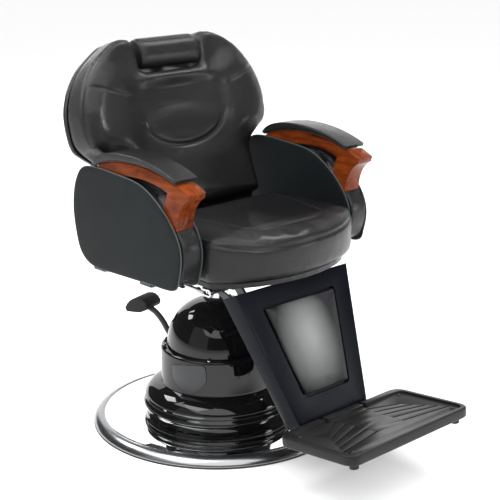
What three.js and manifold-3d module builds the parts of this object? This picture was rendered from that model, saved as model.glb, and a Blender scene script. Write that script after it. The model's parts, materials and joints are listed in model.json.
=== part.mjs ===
// Hydraulic barber chair: round base, foot pump, swivel seat with arms, reclining back with a
// height-adjustable headrest, and a leg rest with a folding footplate.
// Millimetres, +Z up. The chair faces -Y and the sitter's right hand is at -X.
// The origin is on the floor, at the centre of the round base.
import * as THREE from 'three';
import { mergeVertices } from 'three/addons/utils/BufferGeometryUtils.js';
import Module from 'manifold-3d';

const wasm = await Module();
wasm.setup();

// ---------------------------------------------------------------- driving dimensions
const GAP = 0.3;                  // clearance between pieces that rest on each other

const BASE_RADIUS = 330;
const PLATE_THICKNESS = 10;
const COVER_HOLE_RADIUS = 128;
const COVER_WALL = 2.5;

const ROD_RADIUS = 30;
const ROD_TOP = 416;
const CYLINDER_RADIUS = 52;
const CYLINDER_TOP = 300;
const PUMP_BOLT_CIRCLE = 92;

const SLEEVE_RADIUS = 150;
const SLEEVE_TOP = 207;
const HOOD_WALL = 3;

const PEDAL_TURN = 15 * Math.PI / 180;   // the pump is turned this far from straight behind
const PEDAL_PIVOT = [72, 170];           // [distance from the column axis, height]
const PEDAL_SLOT_WIDTH = 24;

const RAIL_X = 118;                      // centre of each seat rail
const RAIL_WIDTH = 24;
const RAIL_BOTTOM = 425;
const RAIL_TOP = 447.4;
const ARM_BAR_TOP = 455.7;
const BOARD_TOP = 467.7;
const CUSHION_HALF_WIDTH = 244;
const CUSHION_FRONT = -330;
const CUSHION_REAR = 122;

const ARM_INNER = 250;                   // inner and outer faces of each arm
const ARM_OUTER = 320;
const PANEL_THICKNESS = 8;

const BACK_HINGE = [150, 475];           // [y, z]
const BACK_LEAN = 0.2915;                // lean of the backrest from vertical, radians
const BACK_FOOT = [59.6, 560];           // [y, z] of the lower front edge of the backrest
const BACK_DEPTH = 84;
const BACK_PANEL_DEPTH = 14;
const LEVER = [10, -50];                 // lever pin from its hinge, the same on back and leg rest

const LEG_HINGE = [-248.9, 369];         // [y, z]
const LEG_LEAN = 0.4366;                 // slope of the leg rest from vertical, radians
const LEG_FACE = [-292, 402];            // [y, z] on the front face, straight in front of the hinge
const LEG_DEPTH = 52;

const FOOT_HINGE = [-446, 128];          // [y, z] of the footplate hinge
const FOOT_TILT = 0.09;                  // rise of the footplate towards its front edge

const STRUT_X = 200;                     // distance of the gas strut from the centre line
const STRUT_REAR = [110, 436];
const STRUT_FRONT = [-190, 431];
const LINK_X = 140;

// ---------------------------------------------------------------- materials
function finish(color, roughness, metalness) {
  return new THREE.MeshStandardMaterial({ color, roughness, metalness });
}
const chrome = () => finish(0xd8dadd, 0.12, 1);
const steel = () => finish(0x8f9296, 0.35, 1);
const blackSteel = () => finish(0x1b1b1d, 0.4, 0.6);
const glossBlack = () => finish(0x0c0c0d, 0.1, 0.1);
const castIron = () => finish(0x2a2b2d, 0.55, 0.8);
const rubber = () => finish(0x18181a, 0.85, 0);
const leather = () => finish(0x17171a, 0.35, 0);
const vinyl = () => finish(0x2b3033, 0.45, 0);
const mahogany = () => finish(0x6b2310, 0.22, 0);
const blackBoard = () => finish(0x2b3033, 0.45, 0);
const moulded = () => finish(0x20242b, 0.35, 0.1);

// ---------------------------------------------------------------- solids
function toSolid(geometry) {
  const bare = new THREE.BufferGeometry();
  bare.setAttribute('position', geometry.getAttribute('position').clone());
  if (geometry.index) bare.setIndex(geometry.index.clone());
  const merged = mergeVertices(bare, 1e-3);
  const corners = merged.index.array;
  const kept = [];
  for (let i = 0; i < corners.length; i += 3) {
    const [a, b, c] = [corners[i], corners[i + 1], corners[i + 2]];
    if (a !== b && b !== c && c !== a) kept.push(a, b, c);
  }
  return new wasm.Manifold(new wasm.Mesh({
    numProp: 3,
    vertProperties: new Float32Array(merged.getAttribute('position').array),
    triVerts: new Uint32Array(kept),
  }));
}

function toGeometry(solid) {
  const mesh = solid.getMesh();
  const geometry = new THREE.BufferGeometry();
  geometry.setAttribute('position', new THREE.BufferAttribute(mesh.vertProperties, 3));
  geometry.setIndex(new THREE.BufferAttribute(mesh.triVerts, 1));
  return geometry;
}

function join(...geometries) {
  return toGeometry(geometries.map(toSolid).reduce((whole, piece) => whole.add(piece)));
}

function cut(geometry, ...tools) {
  return toGeometry(tools.map(toSolid).reduce((whole, tool) => whole.subtract(tool), toSolid(geometry)));
}

function box(x0, x1, y0, y1, z0, z1) {
  const geometry = new THREE.BoxGeometry(x1 - x0, y1 - y0, z1 - z0);
  return geometry.translate((x0 + x1) / 2, (y0 + y1) / 2, (z0 + z1) / 2);
}

// A round bar between two points; with 6 sides it is a hexagon.
function bar(radius, from, to, sides = 24) {
  const start = new THREE.Vector3(...from);
  const end = new THREE.Vector3(...to);
  const along = end.clone().sub(start);
  const geometry = new THREE.CylinderGeometry(radius, radius, along.length(), sides);
  const turn = new THREE.Quaternion().setFromUnitVectors(new THREE.Vector3(0, 1, 0), along.clone().normalize());
  geometry.applyQuaternion(turn);
  return geometry.translate(...start.add(end).multiplyScalar(0.5).toArray());
}

// A bar across the chair, through the point [y, z].
function crossBar(radius, [y, z], x0, x1, sides = 24) {
  return bar(radius, [x0, y, z], [x1, y, z], sides);
}

// A profile of [radius, z] points turned about the column axis.
function turned(profile, sides = 64) {
  const points = profile.map(([radius, z]) => new THREE.Vector2(radius, z));
  return new THREE.LatheGeometry(points, sides).rotateX(Math.PI / 2);
}

function shapeOf(points) {
  return new THREE.Shape(points.map(([a, b]) => new THREE.Vector2(a, b)));
}

// A closed smooth outline through the points.
function smoothShape(points, divisions) {
  const curve = new THREE.CatmullRomCurve3(
    points.map(([a, b]) => new THREE.Vector3(a, b, 0)), true, 'centripetal');
  return new THREE.Shape(curve.getPoints(divisions).slice(0, -1).map((p) => new THREE.Vector2(p.x, p.y)));
}

function roundedRectangle(halfWidth, y0, y1, radius) {
  const shape = new THREE.Shape();
  shape.moveTo(-halfWidth + radius, y0);
  shape.lineTo(halfWidth - radius, y0);
  shape.absarc(halfWidth - radius, y0 + radius, radius, -Math.PI / 2, 0);
  shape.lineTo(halfWidth, y1 - radius);
  shape.absarc(halfWidth - radius, y1 - radius, radius, 0, Math.PI / 2);
  shape.lineTo(-halfWidth + radius, y1);
  shape.absarc(-halfWidth + radius, y1 - radius, radius, Math.PI / 2, Math.PI);
  shape.lineTo(-halfWidth, y0 + radius);
  shape.absarc(-halfWidth + radius, y0 + radius, radius, Math.PI, Math.PI * 1.5);
  return shape;
}

// A shape pushed from depth0 to depth1, with its edges rounded over by `round`.
function pushed(shape, depth0, depth1, round = 0, curveSegments = 6) {
  const geometry = new THREE.ExtrudeGeometry(shape, {
    depth: depth1 - depth0 - 2 * round,
    bevelEnabled: round > 0,
    bevelThickness: round,
    bevelSize: round,
    bevelOffset: -round,
    bevelSegments: round > 3 ? 2 : 1,
    curveSegments,
  });
  return geometry.translate(0, 0, depth0 + round);
}

// A shape drawn in [y, z] and pushed across the chair from x0 to x1.
function sidewise(shape, x0, x1, round = 0, curveSegments = 6) {
  const turn = new THREE.Matrix4().makeBasis(
    new THREE.Vector3(0, 1, 0), new THREE.Vector3(0, 0, 1), new THREE.Vector3(1, 0, 0));
  return pushed(shape, x0, x1, round, curveSegments).applyMatrix4(turn);
}

// A tube that follows a smooth curve through the points.
function tube(points, radius, steps, sides = 3) {
  const path = new THREE.CatmullRomCurve3(points.map((p) => new THREE.Vector3(...p)));
  const section = new THREE.Shape();
  section.absarc(0, 0, radius, 0, Math.PI * 2);
  return new THREE.ExtrudeGeometry(section, { steps, curveSegments: sides, bevelEnabled: false, extrudePath: path });
}

const chair = new THREE.Group();

function add(name, geometry, material, parent = chair) {
  const mesh = new THREE.Mesh(geometry, material);
  mesh.name = name;
  parent.add(mesh);
  return mesh;
}

function mirrored(geometry) {
  const copy = geometry.clone().scale(-1, 1, 1);
  const faces = copy.index ? copy.index.array : null;
  if (faces) {
    for (let i = 0; i < faces.length; i += 3) [faces[i], faces[i + 1]] = [faces[i + 1], faces[i]];
    return copy;
  }
  return mirrored(mergeVertices(bareOf(geometry), 1e-3));
}

function bareOf(geometry) {
  const bare = new THREE.BufferGeometry();
  bare.setAttribute('position', geometry.getAttribute('position').clone());
  return bare;
}

// Adds NAME_left at +X and NAME_right at -X.
function addPair(name, geometry, material, parent = chair) {
  add(`${name}_left`, geometry, material(), parent);
  add(`${name}_right`, mirrored(geometry), material(), parent);
}

// ---------------------------------------------------------------- round base
function basePlate() {
  const plate = turned([[0, 0], [300, 0], [300, PLATE_THICKNESS], [0, PLATE_THICKNESS]], 40);
  return cut(plate, ...pumpBoltPlaces().map(([x, y]) => bar(6.3, [x, y, 1.7], [x, y, 20], 16)));
}

function baseCover() {
  const wall = COVER_WALL;
  return turned([
    [COVER_HOLE_RADIUS, 27 - wall], [301, 23.5 - wall], [317, 15], [326.5, 4], [BASE_RADIUS - 1, 4],
    [BASE_RADIUS - 1, 10], [319, 19], [303, 24], [COVER_HOLE_RADIUS, 27], [COVER_HOLE_RADIUS, 27 - wall],
  ], 48);
}

function baseGasket() {
  return turned([[304, 0], [BASE_RADIUS, 0], [BASE_RADIUS, 3.7], [304, 3.7], [304, 0]], 48);
}

// ---------------------------------------------------------------- pump
function pumpBoltPlaces() {
  return [45, 135, 225, 315].map((degrees) => {
    const angle = degrees * Math.PI / 180;
    return [PUMP_BOLT_CIRCLE * Math.cos(angle), PUMP_BOLT_CIRCLE * Math.sin(angle)];
  });
}

function plungerPlace() {
  const reach = 106;
  return [-reach * Math.sin(PEDAL_TURN), reach * Math.cos(PEDAL_TURN)];
}

function pumpCylinder() {
  const floor = PLATE_THICKNESS + GAP;
  const body = turned([
    [0, floor], [108, floor], [108, 24], [81, 24], [80, 74], [CYLINDER_RADIUS, 90],
    [CYLINDER_RADIUS, CYLINDER_TOP], [0, CYLINDER_TOP],
  ], 36);
  const [x, y] = plungerPlace();
  const barrel = bar(17, [x, y, 18], [x, y, 118], 20);
  const bore = bar(8.3, [x, y, 40], [x, y, 130], 20);
  const holes = pumpBoltPlaces().map(([bx, by]) => bar(6.3, [bx, by, 5], [bx, by, 31], 16));
  const rodBore = bar(ROD_RADIUS + 0.6, [0, 0, 62], [0, 0, CYLINDER_TOP + 20], 32);
  return cut(join(body, barrel, pedalLugs()), bore, rodBore, ...holes);
}

function pumpBolt(x, y) {
  return join(bar(6, [x, y, 2], [x, y, 30], 16), bar(10, [x, y, 24.4], [x, y, 32], 6));
}

function pumpPlunger() {
  const [x, y] = plungerPlace();
  return bar(8, [x, y, 62], [x, y, 162.6], 20);
}

function pistonRod() {
  return turned([[0, 72], [28, 72], [ROD_RADIUS, 75], [ROD_RADIUS, ROD_TOP - 60],
    [24, ROD_TOP - 54], [24, ROD_TOP], [0, ROD_TOP]], 40);
}

// ---------------------------------------------------------------- pump cover
function hoodSlot() {
  const slot = box(-PEDAL_SLOT_WIDTH / 2, PEDAL_SLOT_WIDTH / 2, 128, 172, 146, 222);
  return slot.rotateZ(PEDAL_TURN);
}

function hoodRing() {
  const wall = 4;
  return turned([
    [185, 26.8], [189, 26.8], [191, 42], [197, 50], [196, 60], [190, 66], [193, 76], [178, 99],
    [SLEEVE_RADIUS + 0.6, 112], [SLEEVE_RADIUS - wall, 112], [SLEEVE_RADIUS - wall, 108], [175, 96],
    [188, 76], [185, 66], [191, 57], [187, 44], [185, 26.8],
  ], 36);
}

function hoodSleeve() {
  const inside = SLEEVE_RADIUS - HOOD_WALL;
  const sleeve = turned([
    [inside, 112.3], [SLEEVE_RADIUS + 1, 112.3], [SLEEVE_RADIUS, 120], [SLEEVE_RADIUS, SLEEVE_TOP - 5],
    [SLEEVE_RADIUS - 4, SLEEVE_TOP], [126, SLEEVE_TOP], [126, SLEEVE_TOP - HOOD_WALL],
    [inside - 3, SLEEVE_TOP - HOOD_WALL], [inside, SLEEVE_TOP - 8], [inside, 112.3],
  ], 36);
  return cut(sleeve, hoodSlot());
}

function hoodDome() {
  const foot = SLEEVE_TOP + GAP;
  return turned([
    [131, foot], [134, foot], [133, 224], [129, 246], [118, 272], [100, 299], [72, 320], [45, 330],
    [36, 331], [36, 328], [71, 316.5], [98, 296.5], [115, 270.5], [126, 245], [130, 224], [131, foot],
  ], 36);
}

function rodSeal() {
  return turned([[ROD_RADIUS + 0.4, 316], [43, 316], [43, 322], [34.5, 325], [34.5, 337],
    [ROD_RADIUS + 0.4, 338], [ROD_RADIUS + 0.4, 316]], 32);
}

// ---------------------------------------------------------------- pedal, drawn straight behind the column
function pedalLugs() {
  const [y, z] = PEDAL_PIVOT;
  const cheek = sidewise(shapeOf([[40, 148], [70, 148], [84, 162], [84, 180], [70, 190], [40, 190]]), 11, 16);
  const lugs = join(cheek, mirrored(cheek));
  return cut(lugs, crossBar(5.2, [y, z], -20, 20, 20)).rotateZ(PEDAL_TURN);
}

function pedalPin() {
  return crossBar(5, PEDAL_PIVOT, -19, 19, 20);
}

function pedalArm() {
  const [y, z] = PEDAL_PIVOT;
  const spine = [[0, y + 4, z], [0, 106, 173], [0, 136, 188], [0, 156, 207], [0, 176, 236], [0, 200, 258],
    [0, 224, 268]];
  const hub = crossBar(13, [y, z], -10, 10);
  return cut(join(hub, tube(spine, 8, 14, 4)), crossBar(5.3, [y, z], -20, 20, 20));
}

function pedalPad() {
  const outline = new THREE.Shape();
  outline.moveTo(204, 276);
  outline.bezierCurveTo(206, 296, 226, 304, 246, 296);
  outline.bezierCurveTo(262, 290, 274, 276, 276, 262);
  outline.lineTo(270, 254);
  outline.lineTo(226, 258);
  outline.lineTo(206, 268);
  const block = sidewise(outline, -33, 33, 5, 6);
  const socket = tube([[0, 176, 236], [0, 200, 258], [0, 224, 268], [0, 234, 272]], 8.6, 8, 4);
  return cut(block, socket);
}

// ---------------------------------------------------------------- seat frame
function seatHub() {
  const plateBottom = RAIL_BOTTOM - GAP - 8;
  const boss = turned([[24.4, 362], [40, 362], [46, 372], [46, plateBottom + 4], [24.4, plateBottom + 4],
    [24.4, 362]], 40);
  const plate = turned([[0, plateBottom], [60, plateBottom], [60, plateBottom + 8], [0, plateBottom + 8]], 40);
  const flange = box(-130, 130, -105, 105, plateBottom, plateBottom + 8);
  const rod = bar(24.4, [0, 0, 350], [0, 0, ROD_TOP + 0.4], 40);
  return cut(join(boss, plate, flange), rod);
}

function seatRail() {
  const inner = RAIL_X - RAIL_WIDTH / 2;
  const outer = RAIL_X + RAIL_WIDTH / 2;
  const beam = box(inner, outer, -196, 168, RAIL_BOTTOM, RAIL_TOP);
  const [fy, fz] = LEG_HINGE;
  const frontEar = sidewise(shapeOf([
    [fy - 9, fz - 6], [fy - 2, fz - 11], [fy + 9, fz - 8], [-180, RAIL_BOTTOM + 1], [-180, RAIL_BOTTOM + 10],
    [-196, RAIL_TOP - 4], [fy - 8, fz + 9],
  ]), inner, inner + 8);
  const [by, bz] = BACK_HINGE;
  const rearEar = sidewise(shapeOf([
    [132, RAIL_BOTTOM + 2], [168, RAIL_BOTTOM + 2], [168, bz + 4], [by + 8, bz + 14], [by - 8, bz + 14],
    [132, bz + 2],
  ]), inner, inner + 8);
  return cut(join(beam, frontEar, rearEar),
    crossBar(6.2, LEG_HINGE, inner - 5, outer + 5, 20), crossBar(8.2, BACK_HINGE, inner - 5, outer + 5, 20));
}

function armBar(y) {
  const flat = box(-306, 306, y - 20, y + 20, ARM_BAR_TOP - 8, ARM_BAR_TOP);
  return cut(flat, ...[-1, 1].map((side) => bar(5.3, [side * 285, y, 430], [side * 285, y, 470], 16)));
}

function rearArmBar(y) {
  const [sy, sz] = STRUT_REAR;
  const lug = box(-STRUT_X - 20, -STRUT_X - 14, sy - 12, sy + 10, sz - 12, ARM_BAR_TOP - 4);
  const pin = crossBar(5, STRUT_REAR, -STRUT_X - 16, -STRUT_X + 8, 16);
  return join(armBar(y), lug, pin);
}

function armBolt(side, y) {
  const x = side * 285;
  return join(bar(5, [x, y, ARM_BAR_TOP - 10], [x, y, 480], 16),
    bar(9, [x, y, ARM_BAR_TOP - 15], [x, y, ARM_BAR_TOP - 8.3], 6));
}

function seatBoard() {
  return pushed(seatShape(16), ARM_BAR_TOP + GAP, BOARD_TOP);
}

function seatShape(inset) {
  const half = CUSHION_HALF_WIDTH - inset;
  const shape = new THREE.Shape();
  shape.moveTo(-half, CUSHION_REAR - inset);
  shape.lineTo(-half, -236 + inset);
  shape.bezierCurveTo(-half + 40, -300 + inset, -90, CUSHION_FRONT + inset, 0, CUSHION_FRONT + inset);
  shape.bezierCurveTo(90, CUSHION_FRONT + inset, half - 40, -300 + inset, half, -236 + inset);
  shape.lineTo(half, CUSHION_REAR - inset);
  return shape;
}

function seatCushion() {
  const block = pushed(seatShape(0), BOARD_TOP + GAP, 580, 14, 8);
  const back = sidewise(shapeOf([[-10, 579], [52, 553], [140, 526.5], [140, 640], [-10, 640]]), -300, 300);
  return cut(block, back);
}

// ---------------------------------------------------------------- arms
function armPanelShape() {
  return smoothShape([
    [117, 708], [-2, 705], [-90, 692], [-160, 650], [-206, 600], [-224, 552], [-217, 500], [-196, 466],
    [-100, 463], [0, 461], [98, 461], [142, 480], [164, 520], [176, 600], [160, 672],
  ], 34);
}

function armPanel(x0) {
  return sidewise(armPanelShape(), x0, x0 + PANEL_THICKNESS, 1.5);
}

function armCore() {
  const shape = smoothShape([
    [96, 696], [-10, 694], [-92, 680], [-152, 642], [-196, 614], [-222, 580], [-229, 545], [-220, 505],
    [-196, 476], [-100, 466], [0, 464], [96, 464], [136, 484], [158, 524], [168, 600], [150, 664],
  ], 30);
  const core = sidewise(shape, ARM_INNER + PANEL_THICKNESS + GAP, ARM_OUTER - PANEL_THICKNESS - GAP, 4);
  const wood = sidewise(woodShape(GAP + 1.5), ARM_INNER, ARM_OUTER);
  const bolts = [98, -80].map((y) => bar(5.4, [285, y, 440], [285, y, 481], 16));
  return cut(core, wood, ...bolts);
}

// The curved wooden arm: a bow over the panel, a nose at the front and a leg down to the front band.
function woodShape(grow) {
  const shape = new THREE.Shape();
  shape.moveTo(92 + grow, 700 - grow);
  shape.lineTo(78 + grow, 718 + grow);
  shape.bezierCurveTo(30, 742 + grow, -110, 752 + grow, -196, 712 + grow);
  shape.lineTo(-214 - grow, 713 + grow);
  shape.lineTo(-248 - grow, 697 + grow);
  shape.lineTo(-244 - grow, 683 - grow);
  shape.bezierCurveTo(-222 - grow, 672, -206 - grow, 648, -203 - grow, 604 - grow);
  shape.lineTo(-152 + grow, 604 - grow);
  shape.bezierCurveTo(-158 + grow, 650, -162, 676, -172, 690 - grow);
  shape.bezierCurveTo(-120, 708 - grow, -60, 712 - grow, 0, 698 - grow);
  return shape;
}

function woodArm() {
  return sidewise(woodShape(0), ARM_INNER + PANEL_THICKNESS + GAP, ARM_OUTER - PANEL_THICKNESS - GAP, 2, 8);
}

function armPad() {
  const shape = new THREE.Shape();
  shape.moveTo(98, 718);
  shape.bezierCurveTo(80, 752, 20, 764, -60, 760);
  shape.bezierCurveTo(-120, 757, -170, 744, -212, 725);
  shape.lineTo(-208, 716);
  shape.bezierCurveTo(-120, 756.5, 30, 746.5, 86, 714.5);
  return sidewise(shape, ARM_INNER - 1, ARM_OUTER + 1, 3, 10);
}

// ---------------------------------------------------------------- backrest
// The back group stands at the lower front edge of the backrest, leaning back; in it +Z runs up the
// back, +Y runs through its depth and +X is across the chair.
const back = new THREE.Group();
back.position.set(0, ...BACK_FOOT);
back.rotation.x = -BACK_LEAN;
chair.add(back);

function toBack(y, z) {
  const [dy, dz] = [y - BACK_FOOT[0], z - BACK_FOOT[1]];
  const [s, c] = [Math.sin(BACK_LEAN), Math.cos(BACK_LEAN)];
  return [dy * c - dz * s, dy * s + dz * c];
}

function upright(shape, depth0, depth1, round, segments) {
  const turn = new THREE.Matrix4().makeBasis(
    new THREE.Vector3(1, 0, 0), new THREE.Vector3(0, 0, 1), new THREE.Vector3(0, -1, 0));
  return pushed(shape, -depth1, -depth0, round, segments).applyMatrix4(turn);
}

const BACK_EDGE = [
  [225, 5], [227, 97], [232, 145], [272, 179], [298, 203], [305, 249], [300, 302], [277, 352], [240, 397],
  [196, 429], [158, 451], [126, 457],
];
const NOTCH_HALF_WIDTH = 102;
const NOTCH_FLOOR = 367;

function backShape(inset, foot = BACK_EDGE[0], notchFloor = NOTCH_FLOOR) {
  const side = new THREE.CatmullRomCurve3(
    [foot, ...BACK_EDGE.slice(1)].map(([x, z]) => new THREE.Vector3(x - inset, z - inset * 0.5, 0)), false, 'centripetal');
  const right = side.getPoints(30).map((p) => [p.x, p.y]);
  const notch = [[NOTCH_HALF_WIDTH, 441], [NOTCH_HALF_WIDTH, notchFloor]];
  const half = [...right, ...notch];
  const other = half.map(([x, z]) => [-x, z]).reverse();
  return shapeOf([...half, ...other]);
}

function backCushion() {
  return upright(backShape(0), 0, BACK_DEPTH, 12, 4);
}

function backPanel() {
  const depth0 = BACK_DEPTH + GAP;
  const panel = upright(backShape(4, [225, -28], 383), depth0, depth0 + BACK_PANEL_DEPTH, 3, 4);
  const strap = box(112, 126, depth0 - 5, depth0 + BACK_PANEL_DEPTH + 5, -40, 8);
  return cut(panel, strap, mirrored(strap));
}

function backUpright() {
  const depth0 = BACK_DEPTH + BACK_PANEL_DEPTH + 2 * GAP;
  const [hy, hz] = toBack(...BACK_HINGE);
  const [x0, x1] = [RAIL_X - RAIL_WIDTH / 2 + 8.6, RAIL_X - RAIL_WIDTH / 2 + 14.6];
  const foot = sidewise(shapeOf([
    [hy - 12, hz - 4], [hy - 2, hz - 14], [hy + 10, hz - 10], [depth0 + 26, -24], [depth0 + 26, 317],
    [depth0, 317], [depth0, 5], [hy - 14, hz + 12],
  ]), x0, x1);
  const flange = box(x1 - 1, x1 + 22, depth0, depth0 + 5, 30, 317);
  return cut(join(foot, flange), crossBar(8.2, [hy, hz], x0 - 5, x1 + 5, 20));
}

function backLever() {
  const hinge = toBack(...BACK_HINGE);
  const pin = toBack(BACK_HINGE[0] + LEVER[0], BACK_HINGE[1] + LEVER[1]);
  const [x0, x1] = [LINK_X + 6, LINK_X + 12];
  const eye = (place) => crossBar(13, place, x0, x1);
  const [dy, dz] = [pin[0] - hinge[0], pin[1] - hinge[1]];
  const [ny, nz] = [-dz / Math.hypot(dy, dz) * 11, dy / Math.hypot(dy, dz) * 11];
  const web = sidewise(shapeOf([
    [hinge[0] - ny, hinge[1] - nz], [hinge[0] + ny, hinge[1] + nz], [pin[0] + ny, pin[1] + nz],
    [pin[0] - ny, pin[1] - nz],
  ].reverse()), x0, x1);
  const stud = crossBar(6, pin, LINK_X - 8, x1, 20);
  const plate = join(eye(hinge), eye(pin), web);
  return join(cut(plate, crossBar(8.2, hinge, x0 - 5, x1 + 5, 20)), stud);
}

// The bar that ties the two uprights, with the slide of the headrest post welded on.
function backCrossbar() {
  const depth0 = BACK_DEPTH + BACK_PANEL_DEPTH + 2 * GAP;
  const tie = box(-170, 170, depth0 + 26.3, depth0 + 32, 253, 283);
  const block = box(-34, 34, depth0, depth0 + 32, 257, 347);
  const slot = box(-20.4, 20.4, depth0 + 5.6, depth0 + 12.4, 240, 360);
  return cut(join(tie, block), slot);
}

// ---------------------------------------------------------------- headrest
function headrestPost() {
  const depth0 = BACK_DEPTH + BACK_PANEL_DEPTH + 2 * GAP + 6;
  const stem = box(-20, 20, depth0, depth0 + 6, 192, 393);
  const crank = box(-20, 20, 44, depth0 + 6, 387, 393);
  return join(stem, crank);
}

function headrestBolster() {
  const shape = smoothShape([[-12, 415], [-6, 437], [14, 453], [40, 449], [54, 427], [56, 405], [42, 380],
    [16, 372], [-6, 385]], 28);
  const roll = sidewise(shape, -98, 98, 8);
  return cut(roll, box(-20.5, 20.5, 43, 80, 386.5, 393.5));
}

// ---------------------------------------------------------------- leg rest
// The leg group stands at LEG_FACE, tilted with the leg rest: in it +Z runs up the board, +Y runs
// from its front face to its back and +X is across the chair.
const leg = new THREE.Group();
leg.position.set(0, ...LEG_FACE);
leg.rotation.x = -LEG_LEAN;
chair.add(leg);

function toLeg(y, z) {
  const [dy, dz] = [y - LEG_FACE[0], z - LEG_FACE[1]];
  const [s, c] = [Math.sin(LEG_LEAN), Math.cos(LEG_LEAN)];
  return [dy * c - dz * s, dy * s + dz * c];
}

const LEG_TOP = 46;
const LEG_BOTTOM = -300;
const LEG_TOP_HALF = 193;
const LEG_BOTTOM_HALF = 118;
const FOOT_EAR_SIDES = [-68, 68];        // centres of the two ears that carry the footplate

function legBoardShape(inset) {
  const slope = (LEG_TOP_HALF - LEG_BOTTOM_HALF) / (LEG_TOP - LEG_BOTTOM);
  const top = LEG_TOP_HALF - inset;
  const low = LEG_BOTTOM_HALF - inset;
  const radius = 26 - inset / 2;
  const shape = new THREE.Shape();
  shape.moveTo(-top, LEG_TOP);
  shape.lineTo(-low - slope * radius, LEG_BOTTOM + inset + radius);
  shape.quadraticCurveTo(-low, LEG_BOTTOM + inset, -low + radius, LEG_BOTTOM + inset);
  shape.lineTo(low - radius, LEG_BOTTOM + inset);
  shape.quadraticCurveTo(low, LEG_BOTTOM + inset, low + slope * radius, LEG_BOTTOM + inset + radius);
  shape.lineTo(top, LEG_TOP);
  return shape;
}

function legWindowShape(inset) {
  return shapeOf([
    [-126 + inset, 2 - inset], [-80 + inset, -236 + inset], [80 - inset, -236 + inset], [126 - inset, 2 - inset],
  ]);
}

function legShell() {
  const solid = upright(legBoardShape(0), 0, LEG_DEPTH, 4, 6);
  const hollow = upright(legBoardShape(8), 12, LEG_DEPTH + 20, 0, 6);
  const openTop = box(-LEG_TOP_HALF + 9, LEG_TOP_HALF - 9, 12, LEG_DEPTH + 20, LEG_TOP - 12, LEG_TOP + 20);
  const recess = upright(legWindowShape(0), -5, 9, 0);
  const earSlots = FOOT_EAR_SIDES.map((x) => box(x - 5, x + 5, 12, 37, LEG_BOTTOM - 5, LEG_BOTTOM + 12));
  return cut(solid, hollow, openTop, recess, ...earSlots);
}

function legPad() {
  return upright(legWindowShape(5), -6, 8.5, 5);
}

function legBracket() {
  const hinge = toLeg(...LEG_HINGE);
  const pin = toLeg(LEG_HINGE[0] + LEVER[0], LEG_HINGE[1] + LEVER[1]);
  const channel = join(box(-92, 92, 12.3, 17.3, -270, 14), box(-172, 152, 12.3, 17.3, -12, 14),
    box(90, 152, 12.3, 17.3, -78, 14));
  const web = (x0) => sidewise(shapeOf([
    [14, -60], [hinge[0] + 8, hinge[1] - 12], [hinge[0] + 11, hinge[1]], [hinge[0] + 6, hinge[1] + 10],
    [hinge[0] - 6, hinge[1] + 12], [14, 14],
  ]), x0, x0 + 6);
  const lug = sidewise(shapeOf([
    [14, pin[1] - 26], [pin[0] + 6, pin[1] - 12], [pin[0] + 12, pin[1]], [pin[0] + 6, pin[1] + 12],
    [14, pin[1] + 26],
  ]), LINK_X + 6, LINK_X + 12);
  const stud = crossBar(6, pin, LINK_X - 8, LINK_X + 8, 20);
  const bracket = cut(join(channel, web(-92), web(86)), crossBar(6.2, hinge, -100, 100, 20));
  return join(bracket, lug, stud, strutLug(), ...FOOT_EAR_SIDES.map(footEar));
}

// The lug that carries the front end of the strut.
function strutLug() {
  const [y, z] = toLeg(...STRUT_FRONT);
  const ear = sidewise(shapeOf([[14, -11], [34, -11], [y + 4, z - 9], [y + 9, z], [y + 3, z + 9], [14, 13]]),
    -170, -164);
  return join(ear, crossBar(4.5, [y, z], -STRUT_X + 8, -164, 16));
}

function footEar(x) {
  const [y, z] = toLeg(...FOOT_HINGE);
  const under = LEG_BOTTOM - 2;
  const ear = sidewise(shapeOf([[13, -230], [13, under], [y, under + 0.5], [y - 9, z + 4], [y - 9, z - 6],
    [y, z - 11], [33, z - 10], [33, -230]]), x - 3.5, x + 3.5);
  return cut(ear, crossBar(5.2, [y, z], -100, 100, 16));
}

function footHingePin() {
  return crossBar(5, FOOT_HINGE, -78, 78, 16);
}

// ---------------------------------------------------------------- footplate
const foot = new THREE.Group();
foot.position.set(0, ...FOOT_HINGE);
foot.rotation.x = -FOOT_TILT;
chair.add(foot);

function footplate() {
  const slab = pushed(roundedRectangle(212, -218, 15, 34), -4, 21, 4, 6);
  const tread = pushed(roundedRectangle(198, -206, -6, 26), 15, 40, 0, 6);
  const hollow = pushed(roundedRectangle(200, -206, 2, 24), -30, 9, 0, 6);
  const knuckle = join(box(-60, 60, -14, 8, -7, 10), crossBar(11, [0, 0], -60, 60));
  const shell = join(cut(slab, tread, hollow), knuckle);
  const earSlots = FOOT_EAR_SIDES.map((x) => box(x - 6, x + 6, -16, 30, -30, 30));
  return cut(shell, ...earSlots, ...treadGrooves(), crossBar(5.3, [0, 0], -90, 90, 20));
}

// Grooves that fan out on both sides of the tread.
function treadGrooves() {
  const grooves = [];
  for (const side of [-1, 1]) {
    for (let i = 0; i < 4; i += 1) {
      const groove = box(-1.8, 1.8, -42 - i * 12, 42 + i * 6, 13.2, 30);
      groove.rotateZ(side * (1.08 + i * 0.08));
      grooves.push(groove.translate(side * (96 + i * 4), -52 - i * 32, 0));
    }
  }
  return grooves;
}

function footBumper(side) {
  return bar(11, [side * 180, -192, -20], [side * 180, -192, 8.7], 20);
}

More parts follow.
